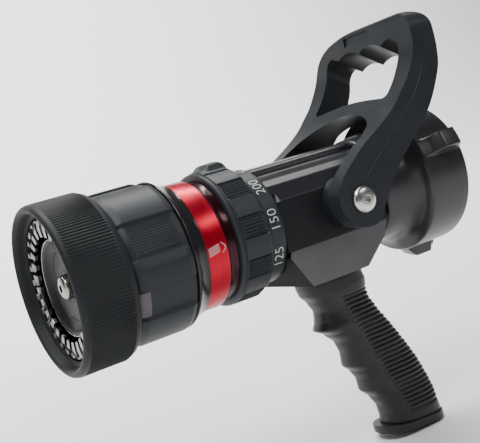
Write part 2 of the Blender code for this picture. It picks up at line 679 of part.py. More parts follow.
def swivel_coupling():
    stations = coupling_stations()
    on_lug = dict(stations)
    # (x, ring radius, lug radius)
    outer = [
        (X_SWIVEL_FRONT, 34.6, 34.6), (X_SWIVEL_FRONT + 1.4, 36.2, 36.2), (-47.0, 37.6, 37.6),
        (-42.4, 39.4, 39.4), (-38.0, 44.6, 44.6), (X_RING_FRONT, 47.6, 48.6), (-30.0, R_RING, 52.6),
        (-22.0, R_RING, R_LUG - 0.8), (-8.0, R_RING, R_LUG), (-4.0, R_RING, R_RING + 5.5), (-1.0, R_RING, R_RING),
        (0.0, R_RING - 1.0, R_RING - 1.0),
    ]
    inner = [
        (0.0, R_THREAD), (-26.9, R_THREAD), (-26.9, 32.0), (-50.2, 32.0), (-50.2, 33.3), (-54.0, 33.3),
        (-54.0, 32.0), (X_SWIVEL_FRONT, 32.0),
    ]
    profile = [(row[0], row[1]) for row in outer] + inner

    def radius(i, r, angle):
        return outer[i][2] if i < len(outer) and on_lug[angle] else r

    place("swivel_coupling", turned(profile, [angle for angle, _ in stations], radius), "hardcoat")


def hose_gasket():
    profile = [(-26.5, 24.6), (-26.5, 38.0), (-21.5, 38.0), (-21.5, 24.6)]
    place("hose_gasket", turned(profile, full_turn(INSIDE)), "seal")


def debris_screen():
    screen = place("debris_screen", rod([(-29.6, 0), (-29.6, 25.6), (-28.2, 25.6), (-28.2, 0)], 20), "steel")
    centres = [(0.0, 0.0)] + arc((0, 0), 15.5, 0, 300, 5)
    holes = bmesh.new()
    for y, z in centres:
        piece = prism(arc((y, z), 6.4, 0, 300, 5), -32.0, -26.0, "x")
        mesh = bpy.data.meshes.new("screen_hole")
        piece.to_mesh(mesh)
        piece.free()
        holes.from_mesh(mesh)
        bpy.data.meshes.remove(mesh)
    shape(screen, "DIFFERENCE", (holes, "holes"))


def main():
    clear_scene()
    front_bumper()
    pattern_sleeve()
    pattern_carrier()
    sleeve_collar()
    spinning_teeth()
    baffle_head()
    baffle_screw()
    baffle_stem()
    flow_plug()
    flow_drive_pin()
    barrel_tube()
    barrel_seal()
    colour_band()
    band_lock_ring()
    stem_spider()
    flow_selector_ring()
    detent_ball()
    detent_spring()
    valve_body()
    grip_saddle()
    saddle_screw("saddle_screw_front", SADDLE_SCREWS[0])
    saddle_screw("saddle_screw_rear", SADDLE_SCREWS[1])
    pistol_grip()
    grip_base()
    grip_bolt()
    valve_ball()
    ball_seat("seat_front", -1)
    ball_seat("seat_rear", 1)
    for side, label in ((-1, "left"), (1, "right")):
        trunnion("trunnion_" + label, side)
        trunnion_seal("trunnion_seal_" + label, side)
        thrust_washer("thrust_washer_" + label, side)
        pivot_bolt("pivot_bolt_" + label, side)
    bail_handle()
    swivel_tail()
    swivel_race_ring()
    swivel_coupling()
    hose_gasket()
    debris_screen()


main()
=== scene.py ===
"""Looks of the fire hose nozzle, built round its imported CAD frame.

The waterway is X with the tip towards -X, the origin is the centre of the hose
coupling's rear face, +Z is up and -Y is the left side. Lengths in the builders
are millimetres and become metres in publish() and prism(); lights, floor and
camera are in metres. Angles round the waterway run from the top (+Z) towards
the left side (-Y).
"""
import math

import bmesh
import bpy
from mathutils import Matrix, Vector


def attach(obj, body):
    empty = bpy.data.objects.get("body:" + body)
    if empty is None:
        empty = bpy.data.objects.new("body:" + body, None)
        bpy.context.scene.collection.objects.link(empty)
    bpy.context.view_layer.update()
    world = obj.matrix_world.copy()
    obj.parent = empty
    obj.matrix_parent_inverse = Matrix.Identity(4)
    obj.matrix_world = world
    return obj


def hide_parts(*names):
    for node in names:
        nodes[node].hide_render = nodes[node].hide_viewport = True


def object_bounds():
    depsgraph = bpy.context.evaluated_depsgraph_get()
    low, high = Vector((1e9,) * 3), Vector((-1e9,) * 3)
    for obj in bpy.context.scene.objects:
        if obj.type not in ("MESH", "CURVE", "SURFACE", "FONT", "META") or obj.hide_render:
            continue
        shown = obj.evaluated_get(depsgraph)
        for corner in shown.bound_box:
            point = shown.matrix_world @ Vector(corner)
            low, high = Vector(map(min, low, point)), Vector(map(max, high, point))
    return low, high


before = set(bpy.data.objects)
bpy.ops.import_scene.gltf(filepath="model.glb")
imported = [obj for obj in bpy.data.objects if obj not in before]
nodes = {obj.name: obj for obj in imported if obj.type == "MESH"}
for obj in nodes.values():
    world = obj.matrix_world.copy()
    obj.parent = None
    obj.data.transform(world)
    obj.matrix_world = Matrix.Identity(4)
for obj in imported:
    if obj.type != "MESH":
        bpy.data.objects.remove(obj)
cad_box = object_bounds()
MM = 0.001
PIVOT_X = -96.0
FOOT_SLOPE = -0.08    # the grip's foot drops towards the rear
LEAN = 0.6      # how far the handle's openings drop per unit towards the rear


# ---------------------------------------------------------------- materials

def surface(name, colour, roughness, metallic=0.0, specular=0.5, grain=900.0, bump=0.06,
            blotch=0.10, rough_shift=0.08, brushed=False):
    """Procedural finish: blotchy colour, uneven gloss and a fine grain in the bump."""
    mat = bpy.data.materials.new(name)
    mat.use_nodes = True
    tree = mat.node_tree
    shader = tree.nodes["Principled BSDF"]
    shader.inputs["Metallic"].default_value = metallic
    shader.inputs["Specular IOR Level"].default_value = specular
    coords = tree.nodes.new("ShaderNodeTexCoord")
    place = coords.outputs["Object"]
    if brushed:
        mapping = tree.nodes.new("ShaderNodeMapping")
        mapping.inputs["Scale"].default_value = (12.0, 1.0, 1.0)
        tree.links.new(place, mapping.inputs["Vector"])
        place = mapping.outputs["Vector"]
    broad = tree.nodes.new("ShaderNodeTexNoise")
    broad.inputs["Scale"].default_value = 38.0
    broad.inputs["Detail"].default_value = 5.0
    tree.links.new(place, broad.inputs["Vector"])
    ramp = tree.nodes.new("ShaderNodeValToRGB")
    ramp.color_ramp.elements[0].position = 0.3
    ramp.color_ramp.elements[1].position = 0.72
    ramp.color_ramp.elements[0].color = (*[c * (1 - blotch) for c in colour], 1)
    ramp.color_ramp.elements[1].color = (*[min(1.0, c * (1 + blotch)) for c in colour], 1)
    tree.links.new(broad.outputs["Fac"], ramp.inputs["Fac"])
    tree.links.new(ramp.outputs["Color"], shader.inputs["Base Color"])
    spread = tree.nodes.new("ShaderNodeMapRange")
    spread.inputs["To Min"].default_value = max(0.03, roughness - rough_shift)
    spread.inputs["To Max"].default_value = roughness + rough_shift
    tree.links.new(broad.outputs["Fac"], spread.inputs["Value"])
    tree.links.new(spread.outputs["Result"], shader.inputs["Roughness"])
    fine = tree.nodes.new("ShaderNodeTexNoise")
    fine.inputs["Scale"].default_value = grain
    fine.inputs["Detail"].default_value = 3.0
    tree.links.new(place, fine.inputs["Vector"])
    relief = tree.nodes.new("ShaderNodeBump")
    relief.inputs["Strength"].default_value = bump
    relief.inputs["Distance"].default_value = 0.0004
    tree.links.new(fine.outputs["Fac"], relief.inputs["Height"])
    tree.links.new(relief.outputs["Normal"], shader.inputs["Normal"])
    return mat


FINISH = {
    "rubber": surface("ribbed_rubber", (0.015, 0.017, 0.019), 0.52, specular=0.2, bump=0.15),
    "grip_rubber": surface("grip_rubber", (0.014, 0.0155, 0.017), 0.42, specular=0.36, bump=0.12),
    "polymer": surface("satin_polymer", (0.020, 0.023, 0.026), 0.46, specular=0.26, bump=0.08),
    "handle": surface("handle_polymer", (0.019, 0.0215, 0.0245), 0.36, specular=0.22, bump=0.05),
    "hardcoat": surface("hard_anodised", (0.014, 0.015, 0.017), 0.30, specular=0.13, bump=0.03),
    "satin_grey": surface("satin_grey_coat", (0.085, 0.078, 0.086), 0.44, metallic=0.2, bump=0.05),
    "violet_grey": surface("violet_grey_anodised", (0.13, 0.12, 0.135), 0.22, metallic=0.9, brushed=True,
                           bump=0.03),
    "red": surface("red_anodised", (0.46, 0.004, 0.022), 0.3, metallic=0.8, brushed=True, bump=0.03,
                   blotch=0.05),
    "collar": surface("dark_collar", (0.03, 0.029, 0.031), 0.2, metallic=0.6, bump=0.02),
    "teeth": surface("dark_chrome_teeth", (0.20, 0.195, 0.19), 0.12, metallic=1.0, bump=0.04),
    "baffle": surface("baffle_anodised", (0.016, 0.015, 0.015), 0.36, metallic=0.1, specular=0.25,
                      bump=0.05),
    "coupling": surface("coupling_anodised", (0.038, 0.037, 0.041), 0.30, metallic=0.5, bump=0.03,
                        blotch=0.04, rough_shift=0.03),
    "groove": surface("dark_red_groove", (0.03, 0.002, 0.006), 0.18, metallic=0.6, bump=0.02),
    "steel": surface("bright_stainless", (0.60, 0.59, 0.57), 0.24, metallic=1.0, brushed=True, bump=0.04,
                     blotch=0.06),
    "dull_steel": surface("machined_steel", (0.34, 0.34, 0.35), 0.3, metallic=1.0, bump=0.05),
    "ptfe": surface("white_ptfe", (0.78, 0.78, 0.75), 0.45, bump=0.03, blotch=0.03),
    "seal": surface("seal_rubber", (0.012, 0.012, 0.012), 0.5, bump=0.1),
    "screw_steel": surface("screw_steel", (0.40, 0.385, 0.36), 0.26, metallic=1.0, bump=0.03, blotch=0.04),
    # painted shade: near-black, barely glossy finish for the saddle's forward-facing faces
    "painted_shade_grey": surface("saddle_nose_painted_shade", (0.009, 0.009, 0.010), 0.6, specular=0.06, bump=0.05),
    "white_mark": surface("white_marking", (0.55, 0.56, 0.56), 0.5, bump=0.02, blotch=0.03),
    "floor": surface("pale_floor", (0.82, 0.82, 0.82), 0.7, bump=0.0, blotch=0.01, grain=40.0),
}


def finish_node(name, look):
    obj = nodes[name]
    obj.data.materials.clear()
    obj.data.materials.append(FINISH[look])


# ---------------------------------------------------------------- finishes of the CAD nodes

# The nodes from front_bumper on are hidden later, when a piece stands for them.
NODE_FINISH = {
    "pattern_carrier": "dull_steel", "baffle_stem": "dull_steel", "flow_plug": "hardcoat",
    "flow_drive_pin": "dull_steel", "barrel_tube": "hardcoat", "barrel_seal": "seal",
    "stem_spider": "hardcoat", "detent_ball": "steel", "detent_spring": "steel",
    "saddle_screw_front": "steel", "saddle_screw_rear": "steel", "grip_bolt": "steel",
    "valve_ball": "steel", "seat_front": "ptfe", "seat_rear": "ptfe", "trunnion_left": "dull_steel",
    "trunnion_right": "dull_steel", "trunnion_seal_left": "seal", "trunnion_seal_right": "seal",
    "thrust_washer_left": "ptfe", "thrust_washer_right": "ptfe", "swivel_tail": "hardcoat",
    "swivel_race_ring": "dull_steel", "hose_gasket": "seal", "debris_screen": "dull_steel",
    "front_bumper": "rubber", "pattern_sleeve": "polymer", "sleeve_collar": "violet_grey",
    "spinning_teeth": "steel", "baffle_head": "polymer", "baffle_screw": "steel", "colour_band": "red",
    "band_lock_ring": "groove", "flow_selector_ring": "polymer", "valve_body": "hardcoat",
    "grip_saddle": "satin_grey", "pistol_grip": "grip_rubber", "grip_base": "grip_rubber",
    "pivot_bolt_left": "steel", "pivot_bolt_right": "steel", "bail_handle": "handle",
    "swivel_coupling": "hardcoat",
}
for node_name, look_name in NODE_FINISH.items():
    finish_node(node_name, look_name)


# ---------------------------------------------------------------- mesh tools

def publish(name, verts, faces, look, body, replaces=(), angle=32.0):
    """Mesh from millimetres, finished, riding on a body and standing for CAD nodes."""
    mesh = bpy.data.meshes.new(name)
    mesh.from_pydata([tuple(c * MM for c in v) for v in verts], [], faces)
    return adopt(name, mesh, look, body, replaces, angle)


def adopt(name, mesh, look, body, replaces=(), angle=32.0, flat=False):
    bm = bmesh.new()
    bm.from_mesh(mesh)
    bmesh.ops.remove_doubles(bm, verts=bm.verts, dist=1e-6)
    bmesh.ops.recalc_face_normals(bm, faces=bm.faces)
    bm.to_mesh(mesh)
    bm.free()
    mesh.shade_smooth()
    mesh.set_sharp_from_angle(angle=math.radians(angle))
    mesh.materials.clear()
    mesh.materials.append(FINISH[look])
    obj = bpy.data.objects.new(name, mesh)
    bpy.context.scene.collection.objects.link(obj)
    if flat:
        even = obj.modifiers.new("even_shading", "WEIGHTED_NORMAL")
        even.keep_sharp = True
        even.weight = 100
        graph = bpy.context.evaluated_depsgraph_get()
        obj.data = bpy.data.meshes.new_from_object(obj.evaluated_get(graph))
        obj.modifiers.clear()
    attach(obj, body)
    if replaces:
        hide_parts(*replaces)
    return obj


def soften(points, closed=True, steps=3):
    """Rounds the corners of (x, r, f) points, where f is how far the rounding reaches."""
    out = []
    count = len(points)
    for i, (x, r, f) in enumerate(points):
        ends = not closed and i in (0, count - 1)
        if f <= 0 or ends:
            out.append((x, r))
            continue
        here = Vector((x, r))
        before = Vector(points[i - 1][:2]) - here
        after = Vector(points[(i + 1) % count][:2]) - here
        a = here + before * min(0.45, f / max(before.length, 1e-6))
        b = here + after * min(0.45, f / max(after.length, 1e-6))
        for k in range(steps + 1):
            t = k / steps
            p = a * (1 - t) ** 2 + here * 2 * t * (1 - t) + b * t ** 2
            out.append((p.x, p.y))
    return out


def polar(radius, angle):
    turn = math.radians(angle)
    return -radius * math.sin(turn), radius * math.cos(turn)


def ring_mesh(stations, profile_at, closed=True):
    """Surface round X through a profile of (x, r) at every station angle."""
    verts, faces = [], []
    for angle in stations:
        profile = profile_at(angle)
        for x, r in profile:
            verts.append((x, *polar(r, angle)))
    count = len(profile)
    last = count if closed else count - 1
    total = len(stations)
    for s in range(total):
        n = (s + 1) % total
        for i in range(last):
            j = (i + 1) % count
            faces.append((s * count + i, s * count + j, n * count + j, n * count + i))
    return verts, faces


def lathe(name, points, look, body, replaces=(), count=128):
    profile = soften(points)
    stations = [360.0 * i / count for i in range(count)]
    verts, faces = ring_mesh(stations, lambda _angle: profile)
    return publish(name, verts, faces, look, body, replaces)


def smooth_step(value):
    value = max(0.0, min(1.0, value))
    return value * value * (3 - 2 * value)


def away(angle, centre):
    """Signed difference of two angles, in degrees."""
    return (angle - centre + 180.0) % 360.0 - 180.0


def merge_stations(*groups):
    """Sorted station angles with near-equal ones dropped."""
    every = sorted(a % 360.0 for group in groups for a in group)
    out = []
    for angle in every:
        if not out or angle - out[-1] > 0.04:
            out.append(angle)
    if out and out[0] + 360 - out[-1] < 0.04:
        out.pop()
    return out


def spline(points, steps, closed=True):
    """Catmull-Rom curve through 2D points."""
    out = []
    count = len(points)
    spans = count if closed else count - 1
    for i in range(spans):
        def at(k):
            return Vector(points[k % count] if closed else points[max(0, min(count - 1, k))])
        p0, p1, p2, p3 = at(i - 1), at(i), at(i + 1), at(i + 2)
        for k in range(steps):
            t = k / steps
            p = 0.5 * (2 * p1 + (p2 - p0) * t + (2 * p0 - 5 * p1 + 4 * p2 - p3) * t * t
                       + (3 * p1 - p0 - 3 * p2 + p3) * t ** 3)
            out.append((p.x, p.y))
    if not closed:
        out.append(tuple(points[-1]))
    return out


def prism(outline, low, high, axis):
    """Closed solid, an outline extruded along one axis."""
    order = {"x": lambda a, b, c: (c, a, b), "y": lambda a, b, c: (a, c, b), "z": lambda a, b, c: (a, b, c)}
    point = order[axis]
    bm = bmesh.new()
    lower = [bm.verts.new(Vector(point(a, b, low)) * MM) for a, b in outline]
    upper = [bm.verts.new(Vector(point(a, b, high)) * MM) for a, b in outline]
    bm.faces.new(lower)
    bm.faces.new(list(reversed(upper)))
    for i in range(len(outline)):
        j = (i + 1) % len(outline)
        bm.faces.new((lower[i], upper[i], upper[j], lower[j]))
    bmesh.ops.recalc_face_normals(bm, faces=bm.faces)
    return bm


def arc(centre, radius, start, stop, steps):
    points = []
    for i in range(steps + 1):
        turn = math.radians(start + (stop - start) * i / steps)
        points.append((centre[0] + radius * math.cos(turn), centre[1] + radius * math.sin(turn)))
    return points


def mirrored(half):
    return half + [(-a, b) for a, b in reversed(half) if abs(a) > 1e-6]


def carve(base, steps, bevel=0.0, segments=3, bevel_angle=35.0, weld=0.002):
    """Applies booleans (operation, bmesh) to a bmesh, cleans it and rounds its sharp edges.

    bevel and weld are millimetres."""
    scene = bpy.context.scene
    made = []

    def temporary(bm):
        mesh = bpy.data.meshes.new("tool")
        bm.to_mesh(mesh)
        bm.free()
        obj = bpy.data.objects.new("tool", mesh)
        scene.collection.objects.link(obj)
        made.append(obj)
        return obj

    body = temporary(base)
    for operation, bm in steps:
        modifier = body.modifiers.new("cut", "BOOLEAN")
        modifier.operation = operation
        modifier.solver = "EXACT"
        modifier.object = temporary(bm)
    graph = bpy.context.evaluated_depsgraph_get()
    mesh = bpy.data.meshes.new_from_object(body.evaluated_get(graph))
    for obj in made:
        bpy.data.objects.remove(obj, do_unlink=True)
    bm = bmesh.new()
    bm.from_mesh(mesh)
    bmesh.ops.remove_doubles(bm, verts=bm.verts, dist=weld * MM)
    bmesh.ops.dissolve_limit(bm, angle_limit=math.radians(0.6), verts=bm.verts, edges=bm.edges)
    bm.to_mesh(mesh)
    bm.free()
    if bevel:
        holder = bpy.data.objects.new("holder", mesh)
        scene.collection.objects.link(holder)
        modifier = holder.modifiers.new("round", "BEVEL")
        modifier.width = bevel * MM
        modifier.segments = segments
        modifier.limit_method = "ANGLE"
        modifier.angle_limit = math.radians(bevel_angle)
        modifier.use_clamp_overlap = True
        modifier.harden_normals = False
        graph = bpy.context.evaluated_depsgraph_get()
        rounded = bpy.data.meshes.new_from_object(holder.evaluated_get(graph))
        bpy.data.objects.remove(holder, do_unlink=True)
        mesh = rounded
    return mesh


def rod_mesh(radius, start, stop, centre, axis="y", count=48):
    return prism(arc(centre, radius, 0, 360 - 360 / count, count - 1), start, stop, axis)


# ---------------------------------------------------------------- tip

def front_bumper():
    ribs, depth, radius = 160, 0.75, 51.2

    def profile_at(angle):
        valley = depth * (0.5 - 0.5 * math.cos(math.radians(angle) * ribs))
        return soften([
            (-283.4, radius - 0.1, 0.0), (-282.6, radius - valley, 0.0), (-256.2, radius - valley, 0.0),
            (-255.3, radius - 0.5, 0.4), (-252.6, 49.7, 1.0), (-251.0, 47.6, 0.6), (-251.0, 41.4, 0.3),
            (-273.6, 41.4, 0.0), (-273.6, 44.4, 0.0), (-278.3, 44.4, 0.0), (-278.3, 42.8, 0.0),
            (-280.0, 42.8, 0.2), (-280.4, 45.0, 0.4), (-284.4, 45.8, 0.8), (-286.8, 47.3, 1.0),
            (-286.8, 48.8, 0.9), (-285.6, 50.6, 1.0),
        ])

    stations = [360.0 * i / (ribs * 4) for i in range(ribs * 4)]
    verts, faces = ring_mesh(stations, profile_at)
    publish("ribbed_bumper", verts, faces, "rubber", "pattern_sleeve", ("front_bumper",), angle=50)


SLEEVE_PADS = ((19, 55), (82, 105), (127, 163), (185, 208), (230, 266), (288, 311), (332, 355))
RIBBED_PANELS = ((55, 82), (163, 185), (266, 288), (355, 379))


def pad_height(angle):
    """How far the sleeve stands up here: 0 on a panel, 1 on a pad's top."""
    for start, stop in SLEEVE_PADS:
        inside = (angle - start) % 360.0
        width = stop - start
        if inside <= width:
            fall = smooth_step((width - inside) / 1.3)
            if width > 30:
                rise = smooth_step(inside / 1.6)
                dome = 1.0 - 0.12 * (2 * inside / width - 1) ** 2
                return min(rise, fall) * dome
            rise = 0.25 * smooth_step(inside / 1.0) + 0.75 * max(0.0, min(1.0, (inside - 1.0) / 7.5))
            return min(rise, fall)
    return 0.0


def panel_rib(angle):
    for start, stop in RIBBED_PANELS:
        inside = (angle - start) % 360.0
        if 2.0 < inside < stop - start - 2.0:
            return 0.5 - 0.5 * math.cos(2 * math.pi * (inside - 2.0) / 2.0)
    return 0.0


def pattern_sleeve():
    def profile_at(angle):
        up = pad_height(angle)
        rib = 0.55 * panel_rib(angle)

        def mix(panel, pad):
            return panel + (pad - panel) * up
        return soften([
            (-250.65, 41.0, 0.0), (-250.65, mix(42.6, 44.6), 0.3), (-249.4, mix(43.4, 45.8), 0.5),
            (-246.6, mix(44.6, 47.0), 0.6), (-245.4, mix(44.8, 47.2) + rib * 0.2, 0.2),
            (-244.9, mix(44.8, 47.2) + rib, 0.0), (-217.6, mix(44.8, 47.2) + rib, 0.0),
            (-217.2, mix(44.8, 47.2), 0.3), (-214.6, mix(44.8, 46.4), 0.7), (-213.2, mix(44.6, 45.6), 0.3),
            (-213.0, 43.6, 0.0), (-213.0, 34.7, 0.0), (-222.5, 34.7, 0.0), (-222.5, 37.2, 0.0),
            (-231.5, 37.2, 0.0), (-231.5, 34.7, 0.0), (-257.0, 34.7, 0.0), (-262.0, 36.8, 0.0),
            (-273.7, 36.8, 0.0), (-273.7, 41.0, 0.3),
        ])

    edges = []
    for start, stop in SLEEVE_PADS:
        for edge in (start, stop):
            edges += [edge + k * 0.2 for k in range(-9, 10)]
    ribs = [start + 2.0 + 0.25 * k for start, stop in RIBBED_PANELS
            for k in range((stop - start - 4) * 4 + 1)]
    stations = merge_stations([1.0 * i for i in range(360)], edges, ribs)
    verts, faces = ring_mesh(stations, profile_at)
    publish("padded_sleeve", verts, faces, "polymer", "pattern_sleeve", ("pattern_sleeve",), angle=40)


def painted_ramp_highlight():
    """Lighter grey sheet on the sloping end of the plain panel, just behind the bumper: a painted highlight
    where the ramp catches light.
    """
    verts, faces = [], []
    rows = ((-250.6, 43.3), (-249.6, 44.1), (-246.8, 44.75), (-243.4, 45.0), (-243.0, 44.5))
    steps = 22
    for i in range(steps + 1):
        angle = 106.4 + 20.0 * i / steps
        verts += [(x, *polar(r, angle)) for x, r in rows]
    for i in range(steps):
        for k in range(len(rows) - 1):
            a = i * len(rows) + k
            faces.append((a, a + 1, a + 1 + len(rows), a + len(rows)))
    # the satin grey finish here is a painted highlight on the ramp, not a bare surface
    publish("painted_ramp_highlight", verts, faces, "satin_grey", "pattern_sleeve")


def sleeve_collar():
    lathe("tapered_collar", [
        (-212.6, 35.2, 0.0), (-212.6, 45.6, 0.4), (-212.0, 46.1, 0.3), (-211.2, 45.9, 0.3),
        (-210.6, 45.0, 0.3), (-208.4, 43.5, 1.0), (-205.6, 42.2, 1.0), (-203.2, 41.6, 0.6),
        (-202.0, 41.5, 0.2),
        (-202.0, 40.8, 0.0), (-209.2, 40.8, 0.0), (-210.4, 35.2, 0.0),
    ], "collar", "pattern_sleeve", ("sleeve_collar",), count=180)


def spinning_teeth():
    count, front = 28, -280.35
    pitch = 360.0 / count

    def on_tooth(angle):
        offset = abs(away(angle, round(angle / pitch) * pitch))
        return smooth_step((0.29 * pitch - offset) / (0.05 * pitch))

    def profile_at(angle):
        tooth = on_tooth(angle)
        inner = 37.0 + (31.0 - 37.0) * tooth
        floor = -277.6 + (front + 277.6) * tooth
        return soften([
            (-274.0, 31.6 + 5.2 * (1 - tooth), 0.0), (-274.0, 43.9, 0.0), (-278.0, 43.9, 0.0),
            (-278.0, 42.2, 0.0), (-279.4, 42.2, 0.4), (-280.0, 41.2, 0.4),
            (floor * 0.5 - 140.0, 38.4, 0.3), (floor, 36.8 - tooth, 0.4),
            (floor + 0.5 * tooth, inner + 0.2, 0.3), (floor + 1.4, inner, 0.3),
        ])

    parts = (-0.5, -0.4, -0.3, -0.28, -0.26, -0.24, -0.12, 0.0, 0.12, 0.24, 0.26, 0.28, 0.3, 0.4)
    stations = [(i + part) * pitch for i in range(count) for part in parts]
    stations = sorted(a % 360 for a in stations)
    verts, faces = ring_mesh(stations, profile_at)
    publish("crown_teeth", verts, faces, "teeth", "spinning_teeth", ("spinning_teeth",), angle=30)


def baffle():
    lathe("dished_baffle", [
        (-272.6, 5.4, 0.0), (-272.6, 9.0, 0.4), (-273.0, 9.6, 0.3), (-273.0, 20.0, 1.0),
        (-272.6, 22.5, 1.0), (-274.4, 25.4, 0.6), (-275.9, 27.0, 0.5), (-276.2, 28.2, 0.4),
        (-276.0, 29.1, 0.3), (-274.6, 29.5, 0.4),
        (-270.5, 28.4, 0.5), (-264.0, 17.0, 1.0), (-262.0, 9.0, 0.5), (-262.0, 5.4, 0.0),
    ], "baffle", "flow_stem", ("baffle_head",), count=144)


def baffle_rim():
    lathe("polished_rim", [
        (-276.35, 28.1, 0.0), (-276.75, 28.5, 0.2), (-276.75, 29.1, 0.2), (-276.2, 29.6, 0.2),
        (-275.2, 29.6, 0.1), (-275.2, 28.9, 0.0),
    ], "teeth", "flow_stem", count=144)


def hex_radius(flat, angle):
    """Distance to a hexagon's side, whose flats are `flat` from its middle."""
    turn = (angle % 60.0) - 30.0
    return flat / math.cos(math.radians(turn))


def hex_screw(name, points, flat, depth, look, body, replaces, place=None):
    """Turned screw whose first points are the bottom and mouth of its hexagon socket."""
    def profile_at(angle):
        wall = hex_radius(flat, angle)
        head = points[0][0]
        return soften([(head + depth, 0.0, 0.0), (head + depth, wall, 0.0), (head + 0.25, wall, 0.0),
                       (head, wall + 0.3, 0.0)] + points[1:] + [(points[-1][0], 0.0, 0.0)], closed=False)

    stations = [3.0 * i for i in range(120)]
    verts, faces = ring_mesh(stations, profile_at, closed=False)
    if place:
        verts = [place @ Vector(v) for v in verts]
    publish(name, verts, faces, look, body, replaces)


def baffle_screw():
    hex_screw("baffle_button_screw", [
        (-277.6, 0, 0), (-277.55, 4.2, 0.4), (-277.1, 5.9, 0.6), (-276.0, 7.1, 0.5), (-274.6, 7.4, 0.3),
        (-272.95, 7.4, 0.0), (-272.95, 5.0, 0.0), (-266.4, 5.0, 0.0)], 2.2, 3.0, "screw_steel", "flow_stem",
        ("baffle_screw",))


def bands():
    lathe("red_band", [(-201.6, 38.4, 0.0), (-201.6, 40.4, 0.2), (-187.9, 40.4, 0.5), (-187.0, 39.4, 0.3),
                       (-187.0, 38.4, 0.0)], "red", "nozzle_body", ("colour_band",), count=200)
    lathe("dark_groove_ring", [(-186.65, 35.0, 0.0), (-186.65, 39.2, 0.3), (-184.6, 38.7, 0.8),
                               (-182.0, 38.8, 0.8), (-180.65, 39.0, 0.3), (-180.65, 35.0, 0.0)],
          "groove", "nozzle_body", ("band_lock_ring",), count=200)


# ---------------------------------------------------------------- flow selector

PANEL_COUNT, FIRST_PANEL, PANEL_PITCH = 10, 48.0, 36.0


def selector_shape(angle):
    """(pad height, rib height, lug height) at an angle of the flow ring."""
    nearest = FIRST_PANEL + PANEL_PITCH * round((angle - FIRST_PANEL) / PANEL_PITCH)
    offset = away(angle, nearest)
    pad = smooth_step((abs(offset) - 8.6) / 1.0)
    rib = 0.0
    if abs(offset) < 8.2:
        rib = 0.5 + 0.5 * math.cos(2 * math.pi * offset / 2.75)
    beyond = abs(away(angle, 0.0))
    lug = smooth_step((15.5 - beyond) / 5.5)
    if beyond < 19:
        pad, rib = 1.0, 0.0
    return pad, rib, lug


def flow_ring():
    def profile_at(angle):
        pad, rib, lug = selector_shape(angle)

        def mix(panel, full, top):
            base = panel + (full - panel) * pad
            return base + (top - base) * lug
        ribs = 0.9 * rib
        return soften([
            (-180.3, 35.0, 0.0), (-180.3, 41.2, 0.5), (-179.2, 42.4, 0.5), (-178.2, 42.5, 0.4),
            (-177.7, 41.7, 0.2), (-177.2, 41.5, 0.2), (-176.6, mix(42.2, 42.4, 42.4), 0.3),
            (-175.6, mix(41.3, 42.6, 42.8), 0.2), (-175.2, mix(41.2, 42.6, 43.2) + ribs, 0.0),
            (-172.4, mix(41.2, 42.6, 43.6) + ribs, 0.2), (-169.4, mix(41.2, 42.6, 46.1) + ribs, 0.6),
            (-161.6, mix(41.2, 42.6, 46.4) + ribs, 0.3), (-159.6, mix(41.2, 42.6, 45.6) + ribs * 0.9, 0.3),
            (-158.4, mix(40.9, 42.0, 44.6), 0.5), (-157.0, mix(39.6, 40.2, 42.6), 0.4),
            (-156.2, mix(38.2, 38.4, 40.6), 0.4), (-155.6, mix(37.4, 37.4, 38.4), 0.2),
            (-154.8, 37.4, 0.1), (-145.8, 37.4, 0.4), (-145.0, 36.8, 0.3), (-145.0, 35.0, 0.0),
            (-161.6, 35.0, 0.0), (-161.6, 36.4, 0.0),
            (-173.6, 36.4, 0.0), (-173.6, 35.0, 0.0),
        ])

    panels = [FIRST_PANEL + PANEL_PITCH * k for k in range(PANEL_COUNT)]
    ribs = [panel + 0.34 * i for panel in panels for i in range(-26, 27)]
    edges = [panel + side * (8.6 + 0.25 * i) for panel in panels for i in range(5) for side in (-1, 1)]
    lug = [0.5 * i for i in range(-44, 45)]
    stations = merge_stations([2.0 * i for i in range(180)], ribs, edges, lug)
    verts, faces = ring_mesh(stations, profile_at)
    publish("flow_ring", verts, faces, "polymer", "flow_selector", ("flow_selector_ring",), angle=40)


NUMBER_RADIUS, NUMBER_HEIGHT, NUMBER_WIDTH = 37.5, 6.2, 12.0
NUMBER_TOPS_AT = -154.0
LONGEST_EDGE = 0.12     # of a flat number before it is wrapped, in the font's units


def wrapped_number(name, text, centre, body):
    """Number printed round a ring: its top faces the tip and it reads upwards."""
    curve = bpy.data.curves.new("text", "FONT")
    curve.body = text
    curve.size = 1.0
    curve.resolution_u = 4
    curve.offset = -0.012
    holder = bpy.data.objects.new("text", curve)
    bpy.context.scene.collection.objects.link(holder)
    graph = bpy.context.evaluated_depsgraph_get()
    flat = bpy.data.meshes.new_from_object(holder.evaluated_get(graph))
    bpy.data.objects.remove(holder, do_unlink=True)
    xs = [v.co.x for v in flat.vertices]
    ys = [v.co.y for v in flat.vertices]
    scale = NUMBER_HEIGHT / (max(ys) - min(ys))
    width = NUMBER_WIDTH / (max(xs) - min(xs))
    bm = bmesh.new()
    bm.from_mesh(flat)
    for _ in range(2):
        long_edges = [e for e in bm.edges if e.calc_length() > LONGEST_EDGE]
        bmesh.ops.subdivide_edges(bm, edges=long_edges, cuts=1)
    bmesh.ops.triangulate(bm, faces=bm.faces)
    middle = (max(xs) + min(xs)) / 2
    for vert in bm.verts:
        along = (vert.co.x - middle) * width
        up = (vert.co.y - min(ys)) * scale
        angle = centre - math.degrees(along / NUMBER_RADIUS)
        y, z = polar(NUMBER_RADIUS, angle)
        vert.co = Vector((NUMBER_TOPS_AT + NUMBER_HEIGHT - up, y, z)) * MM
    mesh = bpy.data.meshes.new(name)
    bm.to_mesh(mesh)
    bm.free()
    mesh.materials.append(FINISH["white_mark"])
    obj = bpy.data.objects.new(name, mesh)
    bpy.context.scene.collection.objects.link(obj)
    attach(obj, body)


